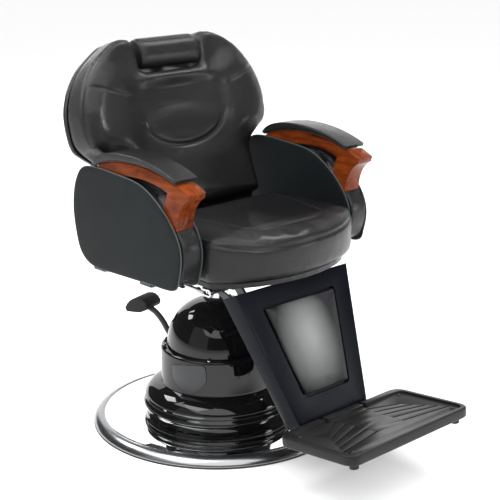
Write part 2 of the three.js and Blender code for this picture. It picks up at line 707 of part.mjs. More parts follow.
// ---------------------------------------------------------------- link, strut and recline lever
function linkBar() {
  const rear = [BACK_HINGE[0] + LEVER[0], BACK_HINGE[1] + LEVER[1]];
  const front = [LEG_HINGE[0] + LEVER[0], LEG_HINGE[1] + LEVER[1]];
  const [dy, dz] = [rear[0] - front[0], rear[1] - front[1]];
  const length = Math.hypot(dy, dz);
  const [ny, nz] = [-dz / length * 9, dy / length * 9];
  const [x0, x1] = [LINK_X - 3.5, LINK_X + 3.5];
  const web = sidewise(shapeOf([
    [rear[0] + ny, rear[1] + nz], [front[0] + ny, front[1] + nz], [front[0] - ny, front[1] - nz],
    [rear[0] - ny, rear[1] - nz],
  ]), x0, x1);
  const body = join(web, crossBar(12, rear, x0, x1), crossBar(12, front, x0, x1));
  return cut(body, crossBar(6.3, rear, x0 - 5, x1 + 5, 20), crossBar(6.3, front, x0 - 5, x1 + 5, 20));
}

function strutPoint(distance) {
  const [ry, rz] = STRUT_REAR;
  const [fy, fz] = STRUT_FRONT;
  const length = Math.hypot(fy - ry, fz - rz);
  return [-STRUT_X, ry + (fy - ry) * distance / length, rz + (fz - rz) * distance / length];
}

function strutCylinder() {
  const barrel = join(bar(6, strutPoint(0), strutPoint(24), 16), bar(11, strutPoint(18), strutPoint(206), 24));
  const eye = crossBar(10, STRUT_REAR, -STRUT_X - 5, -STRUT_X + 5);
  const bore = bar(4.6, strutPoint(40), strutPoint(220), 16);
  const pinHole = crossBar(5.3, STRUT_REAR, -STRUT_X - 10, -STRUT_X + 10, 20);
  return cut(join(barrel, eye), bore, pinHole);
}

function strutRod() {
  const end = strutPoint(300);
  const rod = bar(4, strutPoint(70), strutPoint(272), 16);
  const stem = bar(6.5, strutPoint(258), strutPoint(280), 16);
  const eye = crossBar(10, [end[1], end[2]], -STRUT_X - 4.5, -STRUT_X + 4.5);
  const block = box(-STRUT_X - 4.5, -STRUT_X + 4.5, end[1], end[1] + 26, end[2] - 9, end[2] + 9);
  const slot = box(-STRUT_X - 10, -STRUT_X + 10, end[1], end[1] + 13, end[2] - 5, end[2] + 5);
  const slotEnds = [0, 13].map((y) => crossBar(5, [end[1] + y, end[2]], -STRUT_X - 10, -STRUT_X + 10, 20));
  return cut(join(rod, stem, eye, block), slot, ...slotEnds);
}

// The recline lever hangs under the left arm, on a stud of the left rail.
const LEVER_PIVOT = [60, 428];

function reclineLever() {
  const blade = sidewise(shapeOf([
    [48, 436], [48, 420], [62, 416], [76, 420], [150, 392], [156, 402], [76, 436],
  ]), 160, 166);
  const crank = box(160, 292, 140, 154, 392.5, 399.5);
  return cut(join(blade, crank), crossBar(6.3, LEVER_PIVOT, 150, 175, 20));
}

// The stud that the lever turns on; it belongs to the left rail.
function leverStud() {
  const railFace = RAIL_X + RAIL_WIDTH / 2;
  return join(box(railFace - 2, 154, 50, 70, 429, 441), box(148, 154, 50, 70, 420, 441),
    crossBar(6, LEVER_PIVOT, 150, 169, 20), crossBar(10, LEVER_PIVOT, 166.3, 170, 20));
}

function reclineGrip() {
  const grip = bar(11, [272, 147, 396], [330, 147, 396], 24);
  return cut(grip, box(260, 292.4, 139.5, 154.5, 392, 400));
}

// ---------------------------------------------------------------- assembly
add('base_plate', basePlate(), blackSteel());
add('base_cover', baseCover(), chrome());
add('base_gasket', baseGasket(), rubber());
add('pump_cylinder', pumpCylinder(), castIron());
pumpBoltPlaces().forEach(([x, y], i) => add(`pump_bolt_${i + 1}`, pumpBolt(x, y), steel()));
add('pump_plunger', pumpPlunger(), steel());
add('hood_ring', hoodRing(), glossBlack());
add('hood_sleeve', hoodSleeve(), glossBlack());
add('hood_dome', hoodDome(), glossBlack());
add('rod_seal', rodSeal(), rubber());

const pedal = new THREE.Group();
pedal.rotation.z = PEDAL_TURN;
chair.add(pedal);
add('pedal_pin', pedalPin(), steel(), pedal);
add('pedal_arm', pedalArm(), blackSteel(), pedal);
add('pedal_pad', pedalPad(), rubber(), pedal);

add('piston_rod', pistonRod(), chrome());

add('seat_hub', seatHub(), castIron());
add('seat_rail_left', join(seatRail(), leverStud()), blackSteel());
add('seat_rail_right', mirrored(seatRail()), blackSteel());
add('arm_bar_front', armBar(-80), blackSteel());
add('arm_bar_rear', rearArmBar(98), blackSteel());
add('seat_board', seatBoard(), blackBoard());
add('seat_cushion', seatCushion(), leather());
[['left', 1], ['right', -1]].forEach(([name, side]) => {
  add(`arm_bolt_front_${name}`, armBolt(side, -80), steel());
  add(`arm_bolt_rear_${name}`, armBolt(side, 98), steel());
});
addPair('arm_panel_inner', armPanel(ARM_INNER), vinyl);
addPair('arm_panel_outer', armPanel(ARM_OUTER - PANEL_THICKNESS), vinyl);
addPair('arm_core', armCore(), vinyl);
addPair('wood_arm', woodArm(), mahogany);
addPair('arm_pad', armPad(), leather);
add('leg_hinge_pin', crossBar(6, LEG_HINGE, -128, 128, 20), steel());
add('back_hinge_pin', crossBar(8, BACK_HINGE, -128, LINK_X + 16, 20), steel());

add('back_cushion', backCushion(), leather(), back);
add('back_panel', backPanel(), vinyl(), back);
addPair('back_upright', backUpright(), blackSteel, back);
add('back_lever', backLever(), blackSteel(), back);
add('back_crossbar', backCrossbar(), blackSteel(), back);
add('headrest_post', headrestPost(), chrome(), back);
add('headrest_bolster', headrestBolster(), leather(), back);

add('leg_shell', legShell(), moulded(), leg);
add('leg_pad', legPad(), leather(), leg);
add('leg_bracket', legBracket(), blackSteel(), leg);
add('footplate_pin', footHingePin(), steel());
add('footplate', footplate(), moulded(), foot);
add('foot_bumper_left', footBumper(1), rubber(), foot);
add('foot_bumper_right', footBumper(-1), rubber(), foot);

add('link_bar', linkBar(), blackSteel());
add('strut_cylinder', strutCylinder(), blackSteel());
add('strut_rod', strutRod(), chrome());
add('recline_lever', reclineLever(), blackSteel());
add('recline_grip', reclineGrip(), rubber());

export default chair;
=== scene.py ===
"""Hydraulic barber chair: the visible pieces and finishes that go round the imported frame.

Metres, +Z up. The chair faces -Y and the sitter's right hand is at -X.
"""

import json
import math

import bpy
from bpy.props import FloatProperty, FloatVectorProperty, IntProperty, PointerProperty
from mathutils import Matrix, Vector
from mathutils.geometry import interpolate_bezier
from mathutils.kdtree import KDTree


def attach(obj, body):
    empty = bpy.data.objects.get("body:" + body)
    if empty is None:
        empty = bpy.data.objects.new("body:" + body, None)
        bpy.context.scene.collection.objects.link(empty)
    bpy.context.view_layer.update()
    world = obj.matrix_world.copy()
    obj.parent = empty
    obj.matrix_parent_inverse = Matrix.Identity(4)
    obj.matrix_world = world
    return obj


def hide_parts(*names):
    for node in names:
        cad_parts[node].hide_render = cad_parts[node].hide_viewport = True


bl_info = {
    "name": "Barber Chair",
    "version": (1, 0, 0),
    "blender": (4, 5, 0),
    "location": "View3D > Sidebar > Chair",
    "description": "Upholstery, hood, base and finishes of a hydraulic barber chair",
    "category": "Object",
}

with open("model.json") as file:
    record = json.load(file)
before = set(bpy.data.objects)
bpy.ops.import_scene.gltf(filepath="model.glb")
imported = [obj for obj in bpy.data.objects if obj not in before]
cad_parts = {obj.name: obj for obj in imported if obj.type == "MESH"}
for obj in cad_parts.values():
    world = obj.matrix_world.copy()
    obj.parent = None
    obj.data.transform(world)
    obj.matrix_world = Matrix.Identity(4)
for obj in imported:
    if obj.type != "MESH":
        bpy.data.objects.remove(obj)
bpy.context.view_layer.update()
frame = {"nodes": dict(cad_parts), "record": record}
NODES = frame["nodes"]
MM = 0.001
WELD = 0.02 * MM    # points closer than this are one point

# Places of the tilted groups: the backrest's lower front edge, the leg rest's top front edge, the
# footplate's hinge and the pump's own turn about the column.
BACK = Matrix.Translation((0, 0.0596, 0.560)) @ Matrix.Rotation(-0.2915, 4, "X")
LEG = Matrix.Translation((0, -0.292, 0.402)) @ Matrix.Rotation(-0.4366, 4, "X")
FOOT = Matrix.Translation((0, -0.446, 0.128)) @ Matrix.Rotation(-0.09, 4, "X")
PUMP = Matrix.Rotation(math.radians(15), 4, "Z")
MIRROR = Matrix.Scale(-1, 4, (1, 0, 0))
# An outline drawn flat is stood up by one of these: seen from the side, or seen from the front.
SIDE_ON = Matrix(((0, 0, 1, 0), (1, 0, 0, 0), (0, 1, 0, 0), (0, 0, 0, 1)))
FRONT_ON = Matrix(((1, 0, 0, 0), (0, 0, -1, 0), (0, 1, 0, 0), (0, 0, 0, 1)))


# ---- lines
def bend(start, grip1, grip2, end, steps=10):
    """Points of one bezier stretch, without its last point."""
    line = interpolate_bezier(*(Vector((*p, 0)) for p in (start, grip1, grip2, end)), steps)
    return [(p.x, p.y) for p in line[:-1]]


def flowing(points, steps=6, closed=True):
    """A smooth line through the points."""
    size = len(points[0])
    corners = [Vector(p) for p in points]
    last = len(corners)
    line = []
    for i in range(last if closed else last - 1):
        if closed:
            a, b, c, d = (corners[(i + k) % last] for k in (-1, 0, 1, 2))
        else:
            a, b, c, d = (corners[min(max(i + k, 0), last - 1)] for k in (-1, 0, 1, 2))
        for k in range(steps):
            t = k / steps
            point = 0.5 * (2 * b + (c - a) * t + (2 * a - 5 * b + 4 * c - d) * t * t
                           + (3 * b - a - 3 * c + d) * t ** 3)
            line.append(tuple(point[:size]))
    if not closed:
        line.append(tuple(corners[-1]))
    return line


def eased(points, radius, steps=4):
    """A closed outline with its corners rounded."""
    corners = [Vector(p) for p in points]
    line = []
    for i, corner in enumerate(corners):
        before = corners[i - 1] - corner
        after = corners[(i + 1) % len(corners)] - corner
        start = corner + before.normalized() * min(radius, before.length * 0.45)
        end = corner + after.normalized() * min(radius, after.length * 0.45)
        for k in range(steps + 1):
            t = k / steps
            line.append(tuple(start * (1 - t) ** 2 + corner * 2 * t * (1 - t) + end * t * t))
    return line


def circle(radius, sides):
    """A round outline."""
    return [(radius * math.cos(i * math.tau / sides), radius * math.sin(i * math.tau / sides))
            for i in range(sides)]


def rectangle(half_width, y0, y1, radius):
    return eased([(-half_width, y0), (half_width, y0), (half_width, y1), (-half_width, y1)], radius, 8)


def smoothstep(low, high, value):
    t = min(max((value - low) / (high - low), 0), 1)
    return t * t * (3 - 2 * t)


# ---- modelling
def leave_edit():
    bpy.ops.object.mode_set(mode="OBJECT")


def fix_place():
    """Moves a piece's place into its mesh, so that its object stands at the origin."""
    bpy.ops.object.transform_apply(location=True, rotation=True, scale=True)


def deselect():
    if bpy.context.mode != "OBJECT":
        leave_edit()
    bpy.ops.object.select_all(action="DESELECT")


def pick(*pieces):
    """Selects only these pieces, the first as the active one."""
    deselect()
    for piece in pieces:
        piece.select_set(True)
    bpy.context.view_layer.objects.active = pieces[0]


def edit(piece, kind="VERT"):
    """Opens a piece in edit mode with all of it selected."""
    pick(piece)
    bpy.ops.object.mode_set(mode="EDIT")
    bpy.ops.mesh.select_mode(type=kind)
    bpy.ops.mesh.select_all(action="SELECT")


def choose(piece, test, kind="EDGE"):
    """Selects, in edit mode, the edges or faces whose corners all pass the test."""
    edit(piece, kind)
    bpy.ops.mesh.select_all(action="DESELECT")
    leave_edit()
    mesh = piece.data
    passed = [test(vertex.co) for vertex in mesh.vertices]
    for part in mesh.edges if kind == "EDGE" else mesh.polygons:
        part.select = all(passed[corner] for corner in part.vertices)
    bpy.ops.object.mode_set(mode="EDIT")


def close_up(piece):
    """Merges doubled points and turns the faces outwards."""
    edit(piece)
    bpy.ops.mesh.remove_doubles(threshold=WELD)
    bpy.ops.mesh.normals_make_consistent(inside=False)
    leave_edit()


def put(piece, place):
    """Moves a piece to its place."""
    piece.matrix_world = place
    pick(piece)
    fix_place()
    return piece


def trace(name, points, fill=True):
    """Draws a line point by point, and fills it if it is to be a face."""
    points = [Vector(p) for p in points]
    deselect()
    bpy.ops.mesh.primitive_plane_add(size=0.002, location=points[0])
    piece = bpy.context.object
    piece.name = name
    piece.data.name = name
    fix_place()
    edit(piece)
    bpy.ops.mesh.merge(type="CENTER")
    for start, end in zip(points, points[1:]):
        bpy.ops.mesh.extrude_region_move(TRANSFORM_OT_translate={"value": end - start})
    if fill:
        bpy.ops.mesh.select_all(action="SELECT")
        bpy.ops.mesh.edge_face_add()
    leave_edit()
    return piece


def prism(name, outline, depth0, depth1, place=Matrix(), rounding=0, segments=3):
    """An outline in millimetres pushed from one depth to another, with both rims rounded over."""
    low, high = sorted((depth0 * MM, depth1 * MM))
    piece = trace(name, [(a * MM, b * MM, low) for a, b in outline])
    edit(piece)
    bpy.ops.mesh.extrude_region_move(TRANSFORM_OT_translate={"value": (0, 0, high - low)})
    close_up(piece)
    if rounding:
        for level in (low, high):
            choose(piece, lambda co: abs(co.z - level) < 1e-6)
            bpy.ops.mesh.bevel(offset=rounding * MM, segments=segments, affect="EDGES", clamp_overlap=True)
    return put(piece, place)


def turn(name, profile, steps):
    """A closed profile of (radius, height) in millimetres turned about the column."""
    piece = trace(name, [(r * MM, 0, z * MM) for r, z in [*profile, profile[0]]], fill=False)
    edit(piece)
    bpy.ops.mesh.spin(steps=steps, angle=math.tau, center=(0, 0, 0), axis=(0, 0, 1))
    close_up(piece)
    return piece


def tube(name, points, radius, closed=False, rings=3):
    """A round tube along points in metres, radius in millimetres."""
    piece = trace(name, [*points, points[0]] if closed else points, fill=False)
    if closed:
        edit(piece)
        bpy.ops.mesh.remove_doubles(threshold=WELD)
    pick(piece)
    bpy.ops.object.convert(target="CURVE")
    piece = bpy.context.object
    piece.data.bevel_depth = radius * MM
    piece.data.bevel_resolution = rings
    piece.data.use_fill_caps = not closed
    bpy.ops.object.convert(target="MESH")
    piece = bpy.context.object
    piece.name = name
    close_up(piece)
    return piece


def apply_new(piece, kind, **settings):
    """Adds a modifier with these settings and applies it."""
    modifier = piece.modifiers.new(kind.lower(), kind)
    for key, value in settings.items():
        setattr(modifier, key, value)
    pick(piece)
    bpy.ops.object.modifier_apply(modifier=modifier.name)


def soften(piece, width, segments, angle=40):
    """Rounds every sharp edge of a carved piece."""
    apply_new(piece, "BEVEL", width=width * MM, segments=segments, limit_method="ANGLE",
              angle_limit=math.radians(angle), use_clamp_overlap=True)


def carve(piece, *tools, operation="DIFFERENCE"):
    """Cuts each tool out of a piece, or joins it on, and uses the tool up."""
    for tool in tools:
        apply_new(piece, "BOOLEAN", object=tool, operation=operation, solver="EXACT")
        bpy.data.objects.remove(tool)
    return piece


def merged(name, *pieces):
    pick(*pieces)
    bpy.ops.object.join()
    piece = bpy.context.object
    piece.name = name
    return piece


def copied(piece, name, place):
    """A copy of a piece with its own mesh, at another place or mirrored."""
    twin = piece.copy()
    twin.data = piece.data.copy()
    twin.name = name
    bpy.context.scene.collection.objects.link(twin)
    put(twin, place)
    if place.determinant() < 0:
        close_up(twin)
    return twin


def settle(piece, body, finish, replaces=(), angle=38):
    """Gives a finished piece its finish and its body, and hides the frame nodes that it stands for."""
    piece.data.materials.clear()
    piece.data.materials.append(finish)
    pick(piece)
    bpy.ops.object.shade_smooth_by_angle(angle=math.radians(angle))
    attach(piece, body)
    if replaces:
        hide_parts(*replaces)
    return piece


# ---- padded pieces
FILL_FRAMES = 20


def stuffed(name, node, slack, voxel, smoothing, pressure, cap, held):
    """A cushion grown from its frame solid: drawn in, remeshed, then filled as cloth under pressure."""
    piece = bpy.data.objects.new(name, NODES[node].data.copy())
    bpy.context.scene.collection.objects.link(piece)
    piece.data.materials.clear()
    close_up(piece)
    apply_new(piece, "REMESH", mode="VOXEL", voxel_size=voxel * MM)
    apply_new(piece, "DISPLACE", strength=-slack * MM, mid_level=0)
    apply_new(piece, "SMOOTH", factor=0.5, iterations=smoothing)
    fill_with_air(piece, pressure, cap, held)
    apply_new(piece, "SMOOTH", factor=0.5, iterations=smoothing)
    return piece


def fill_with_air(piece, pressure, cap, held):
    """Swells a piece as cloth. Held points stay, and none moves further than the cap, in millimetres."""
    rest = [vertex.co.copy() for vertex in piece.data.vertices]
    pinned = piece.vertex_groups.new(name="held")
    pinned.add([i for i, co in enumerate(rest) if held(co)], 1, "REPLACE")
    cloth = piece.modifiers.new("cloth", "CLOTH")
    settings = cloth.settings
    settings.quality = 4
    settings.mass = 0.3
    settings.tension_stiffness = 12
    settings.compression_stiffness = 4
    settings.shear_stiffness = 5
    settings.bending_stiffness = 40
    settings.use_pressure = True
    settings.uniform_pressure_force = pressure
    settings.vertex_group_mass = "held"
    settings.effector_weights.gravity = 0
    cloth.collision_settings.use_collision = False
    cloth.collision_settings.use_self_collision = False
    for step in range(1, FILL_FRAMES + 1):
        bpy.context.scene.frame_set(step)
    shape = piece.evaluated_get(bpy.context.evaluated_depsgraph_get()).to_mesh()
    filled = [vertex.co.copy() for vertex in shape.vertices]
    piece.modifiers.remove(cloth)
    for vertex, start, end in zip(piece.data.vertices, rest, filled):
        move = end - start
        if move.length > cap * MM:
            move *= cap * MM / move.length
        vertex.co = start + move
    piece.vertex_groups.remove(pinned)
    bpy.context.scene.frame_set(1)
    piece.data.update()


def finer(piece):
    apply_new(piece, "SUBSURF", levels=1, render_levels=1)


def mould(piece, push):
    """Moves each point by push(place, normal)."""
    normals = [vertex.normal.copy() for vertex in piece.data.vertices]
    for vertex, normal in zip(piece.data.vertices, normals):
        vertex.co += push(vertex.co, normal)
    piece.data.update()


def dense(line, step=2 * MM):
    """The line with points no further apart than about one step."""
    points = []
    for start, end in zip(line, line[1:]):
        start, end = Vector(start), Vector(end)
        count = max(int((end - start).length / step), 1)
        points += [start.lerp(end, k / count) for k in range(count)]
    return points + [Vector(line[-1])]


def sew(piece, line, depth, width, view=Vector, facing=None):
    """Presses a seam into a padded piece along a line. view flattens places before they are compared,
    and facing is the way the surface has to look."""
    points = [view(p) for p in dense(line)]
    tree = KDTree(len(points))
    for i, point in enumerate(points):
        tree.insert(point, i)
    tree.balance()

    def push(co, normal):
        if facing and normal.dot(facing) < 0.35:
            return Vector()
        distance = tree.find(view(co))[2]
        return normal * (-depth * MM * math.exp(-(distance / (width * MM)) ** 2))

    mould(piece, push)


def from_above(co):
    return Vector((co.x, co.y, 0))


def from_the_front(co):
    return Vector((co.x, 0, co.z))


# ---- shader expressions
class Value:
    """A shader socket that takes part in Python expressions."""

    def __init__(self, finish, socket):
        self.finish = finish
        self.socket = socket

    def maths(self, operation, *values):
        return self.finish.node("ShaderNodeMath", {"operation": operation}, dict(enumerate(values)))

    def __add__(self, other):
        return self.maths("ADD", self, other)

    def __mul__(self, other):
        return self.maths("MULTIPLY", self, other)

    __radd__ = __add__
    __rmul__ = __mul__


class Finish:
    """A procedural material; patterns are laid out in the piece's own coordinates."""

    def __init__(self, name, color, roughness, metallic=0.0):
        self.material = bpy.data.materials.new(name)
        self.material.use_nodes = True
        self.tree = self.material.node_tree
        self.surface = self.tree.nodes["Principled BSDF"]
        self.surface.inputs["Base Color"].default_value = (*color, 1)
        self.surface.inputs["Roughness"].default_value = roughness
        self.surface.inputs["Metallic"].default_value = metallic
        self.place = self.node("ShaderNodeTexCoord", output="Object")

    def node(self, kind, settings=None, sockets=None, output=0):
        made = self.tree.nodes.new(kind)
        for key, value in (settings or {}).items():
            if key == "stops":
                for stop, (position, color) in zip(made.color_ramp.elements, value):
                    stop.position = position
                    stop.color = color
            else:
                setattr(made, key, value)
        for key, value in (sockets or {}).items():
            self.feed(made.inputs[key], value)
        return Value(self, made.outputs[output])

    def feed(self, target, value):
        if isinstance(value, Value):
            self.tree.links.new(value.socket, target)
        else:
            target.default_value = value

    def set(self, **sockets):
        for key, value in sockets.items():
            self.feed(self.surface.inputs[key.replace("_", " ")], value)

    def stretched(self, scale):
        return self.node("ShaderNodeMapping", None, {"Vector": self.place, "Scale": scale})

    def noise(self, scale, detail=3.0, roughness=0.5, where=None):
        return self.node("ShaderNodeTexNoise", None, {
            "Vector": where or self.place, "Scale": scale, "Detail": detail, "Roughness": roughness})

    def cells(self, scale):
        return self.node("ShaderNodeTexVoronoi", {"feature": "DISTANCE_TO_EDGE"}, {
            "Vector": self.place, "Scale": scale})

    def ranged(self, value, low, high, to_low, to_high):
        return self.node("ShaderNodeMapRange", None, {
            "Value": value, "From Min": low, "From Max": high, "To Min": to_low, "To Max": to_high})

    def tint(self, factor, dark, light):
        return self.node("ShaderNodeMix", {"data_type": "RGBA"}, {
            0: factor, 6: (*dark, 1), 7: (*light, 1)}, output=2)

    def raised(self, height, distance, strength=1.0):
        bump = self.node("ShaderNodeBump", None, {
            "Strength": strength, "Distance": distance, "Height": height})
        self.feed(self.surface.inputs["Normal"], bump)


def shade(color, factor):
    return tuple(min(channel * factor, 1) for channel in color[:3])


def hide_finish(name, color, roughness, grain, creases, ior=1.5):
    """Leather or vinyl: fine pebble grain, soft creases, and a slightly worn gloss."""
    hide = Finish(name, color, roughness)
    pebbles = hide.cells(grain)
    folds = hide.noise(14, 4, 0.55)
    wear = hide.noise(5, 2)
    hide.set(
        Base_Color=hide.tint(hide.ranged(wear, 0.35, 0.7, 0, 1), shade(color, 0.8), shade(color, 1.3)),
        Roughness=hide.ranged(folds + wear, 0.7, 1.3, roughness - 0.05, roughness + 0.06),
        IOR=ior,
    )
    hide.raised(hide.ranged(pebbles, 0, 0.12, 0, 0.22) + folds * creases, 0.0012, 0.7)
    return hide.material


def pad_finish_with_painted_highlight(look):
    """The leg rest's pad: black leather with a painted highlight, grey in the middle and darker towards its
    edges.
    """
    pad = Finish("leg_pad_leather_painted_highlight", look.pad_highlight_colour, 0.38)
    middle = (-0.02, -0.34, 0.222)    # of the painted highlight, in the stretched pattern
    away = pad.node("ShaderNodeVectorMath", {"operation": "DISTANCE"}, {
        0: pad.stretched((1.25, 1, 0.72)), 1: middle}, output="Value")
    # painted highlight: a grey patch in the pad's middle, fading to the black leather towards the edges
    painted_highlight = pad.ranged(away + pad.noise(9, 3) * 0.03, 0.035, 0.13, 1, 0)
    pad.set(Base_Color=pad.tint(painted_highlight, look.leather, look.pad_highlight_colour), IOR=1.4,
            Roughness=pad.ranged(pad.noise(12, 3), 0.3, 0.7, 0.36, 0.46))
    pad.raised(pad.ranged(pad.cells(700), 0, 0.12, 0, 0.22) + pad.noise(14, 3) * 0.4, 0.0012, 0.6)
    return pad.material


def wood_finish(look):
    """Lacquered reddish wood with its grain along the arm."""
    wood = Finish("mahogany", look.wood_light, 0.3)
    along = wood.stretched((60, 6, 34))
    grain = wood.noise(2.2, 6, 0.62, along)
    pores = wood.noise(9, 2, 0.5, wood.stretched((160, 9, 120)))
    band = wood.noise(1.3, 3, 0.5, wood.stretched((9, 3, 12)))
    mask = wood.ranged(grain * 0.7 + band * 0.4, 0.4, 0.72, 0, 1)
    wood.set(
        Base_Color=wood.tint(mask, look.wood_dark, look.wood_light),
        Roughness=wood.ranged(pores, 0.3, 0.7, 0.2, 0.32),
        Coat_Weight=0.05,
        Coat_Roughness=0.06,
        IOR=1.2,
    )
    wood.raised(pores, 0.0003, 0.25)
    return wood.material


def gloss_finish(look):
    """Gloss black enamel over pressed steel, with a trace of orange peel."""
    gloss = Finish("gloss_black", look.enamel, 0.07)
    peel = gloss.noise(70, 2)
    dust = gloss.noise(6, 4)
    gloss.set(
        Base_Color=gloss.tint(dust, shade(look.enamel, 0.8), shade(look.enamel, 1.4)),
        Roughness=gloss.ranged(dust, 0.3, 0.7, 0.03, 0.07),
        IOR=1.42,
    )
    gloss.raised(peel, 0.0002, 0.12)
    return gloss.material


def disc_finish(look):
    """Mirror-bright disc whose rolled rim is satin and greyer."""
    disc = Finish("disc_chrome", look.chrome, 0.04, 1)
    radius = disc.node("ShaderNodeVectorMath", {"operation": "LENGTH"}, {
        0: disc.node("ShaderNodeVectorMath", {"operation": "MULTIPLY"}, {0: disc.place, 1: (1, 1, 0)})},
        output="Value")
    rim = disc.ranged(radius, 0.2995, 0.3015, 0, 1)
    streaks = disc.noise(40, 3, 0.5, disc.stretched((1, 1, 30)))
    disc.set(
        Base_Color=disc.tint(rim, look.chrome, look.rim),
        Roughness=rim * 0.2 + disc.ranged(streaks, 0.3, 0.7, 0.02, 0.07),
    )
    disc.raised(streaks, 0.0001, 0.1)
    return disc.material


def metal_finish(name, color, roughness, metallic, grain):
    metal = Finish(name, color, roughness, metallic)
    speck = metal.noise(grain, 3)
    smear = metal.noise(11, 3)
    metal.set(
        Base_Color=metal.tint(smear, shade(color, 0.85), shade(color, 1.15)),
        Roughness=metal.ranged(smear, 0.3, 0.7, roughness * 0.8, roughness * 1.25),
    )
    metal.raised(speck, 0.0003, 0.25)
    return metal.material


def moulded_finish(name, color, roughness, grain=420, ior=1.3):
    """Moulded plastic or rubber with a spark-eroded texture and handling marks."""
    plastic = Finish(name, color, roughness)
    texture = plastic.noise(grain, 2, 0.6)
    marks = plastic.noise(9, 5, 0.6)
    plastic.set(
        Base_Color=plastic.tint(plastic.ranged(marks, 0.35, 0.75, 0, 1),
                                shade(color, 0.85), shade(color, 1.3)),
        Roughness=plastic.ranged(marks, 0.3, 0.7, roughness - 0.05, roughness + 0.08),
        IOR=ior,
    )
    plastic.raised(texture, 0.0004, 0.4)
    return plastic.material


FINISHES = {}


def finishes(look):
    """The finishes of this chair, made once."""
    if not FINISHES:
        FINISHES.update(
            leather=hide_finish("black_leather", look.leather, 0.2, 620, 0.35, 1.4),
            vinyl=hide_finish("grey_vinyl", look.vinyl, 0.42, 900, 0.15, 1.2),
            pad_leather=pad_finish_with_painted_highlight(look),
            # painted highlight: the welt is the vinyl made five times lighter, for the light caught along
            # the piping
            welt=hide_finish("welt", shade(look.vinyl, 5), 0.35, 900, 0.1),
            badge=metal_finish("badge", look.badge, 0.3, 0.0, 400),
            wood=wood_finish(look),
            gloss=gloss_finish(look),
            disc=disc_finish(look),
            chrome=metal_finish("chrome", shade(look.chrome, 0.55), 0.08, 1.0, 90),
            zinc=metal_finish("zinc_steel", (0.32, 0.33, 0.34), 0.32, 1.0, 300),
            black_steel=metal_finish("black_steel", (0.022, 0.022, 0.025), 0.42, 0.0, 500),
            iron=metal_finish("cast_iron", (0.035, 0.035, 0.038), 0.6, 0.2, 240),
            rubber=moulded_finish("rubber", look.rubber, 0.6, 300),
            frame_plastic=moulded_finish("leg_frame", look.leg_frame, 0.33, 420, 1.2),
            foot_plastic=moulded_finish("footplate", look.footplate, 0.36),
        )
    return FINISHES


# ---- outlines, in millimetres
PANEL = flowing([
    (117, 708), (-2, 705), (-90, 692), (-160, 650), (-206, 600), (-224, 552), (-217, 500), (-196, 466),
    (-100, 463), (0, 461), (98, 461), (142, 480), (164, 520), (176, 600), (160, 672)])
BAND = flowing([
    (96, 696), (-10, 694), (-92, 680), (-152, 642), (-196, 614), (-222, 580), (-229, 545), (-220, 505),
    (-196, 476), (-100, 466), (0, 464), (96, 464), (136, 484), (158, 524), (168, 600), (150, 664)])
BACK_SIDE = flowing([
    (225, 5), (227, 97), (232, 145), (272, 179), (298, 203), (305, 249), (300, 302), (277, 352), (240, 397),
    (196, 429), (158, 451), (126, 457)], closed=False)


def wood_outline(grow):
    """The wooden arm from the side: a bow that turns down into a short post at its front."""
    return [
        (92 + grow, 700 - grow),
        *bend((78 + grow, 718 + grow), (30, 742 + grow), (-110, 752 + grow), (-196, 712 + grow), 18),
        (-196, 712 + grow), (-214 - grow, 713 + grow), (-248 - grow, 697 + grow),
        *bend((-244 - grow, 683 - grow), (-222 - grow, 672), (-206 - grow, 648),
              (-203 - grow, 604 - grow), 12),
        (-203 - grow, 604 - grow),
        *bend((-152 + grow, 604 - grow), (-158 + grow, 650), (-162, 676), (-172, 690 - grow), 10),
        *bend((-172, 690 - grow), (-120, 708 - grow), (-60, 712 - grow), (0, 698 - grow), 14),
        (0, 698 - grow),
    ]


def seat_outline(inset):
    """The seat from above: straight sides and a wide bowed front."""
    half, corner, front = 244 - inset, -236 + inset, -330 + inset
    return [
        (-half, 122 - inset),
        *bend((-half, corner), (-half + 40, corner - 64), (-90, front), (0, front), 20),
        *bend((0, front), (90, front), (half - 40, corner - 64), (half, corner), 20),
        (half, corner), (half, 122 - inset),
    ]


def leg_outline(inset):
    """The leg rest from the front: sides that draw together down to two round corners."""
    slope = 75 / 346
    top, low, radius, foot = 193 - inset, 118 - inset, 26 - inset / 2, -300 + inset
    return [
        (-top, 46),
        *bend((-low - slope * radius, foot + radius), (-low, foot), (-low, foot), (-low + radius, foot), 8),
        (-low + radius, foot),
        *bend((low - radius, foot), (low, foot), (low, foot), (low + slope * radius, foot + radius), 8),
        (low + slope * radius, foot + radius), (top, 46),
    ]


# ---- the look's sizes and colours
def colour(name, description, default):
    return FloatVectorProperty(name=name, description=description, default=default, subtype="COLOR")


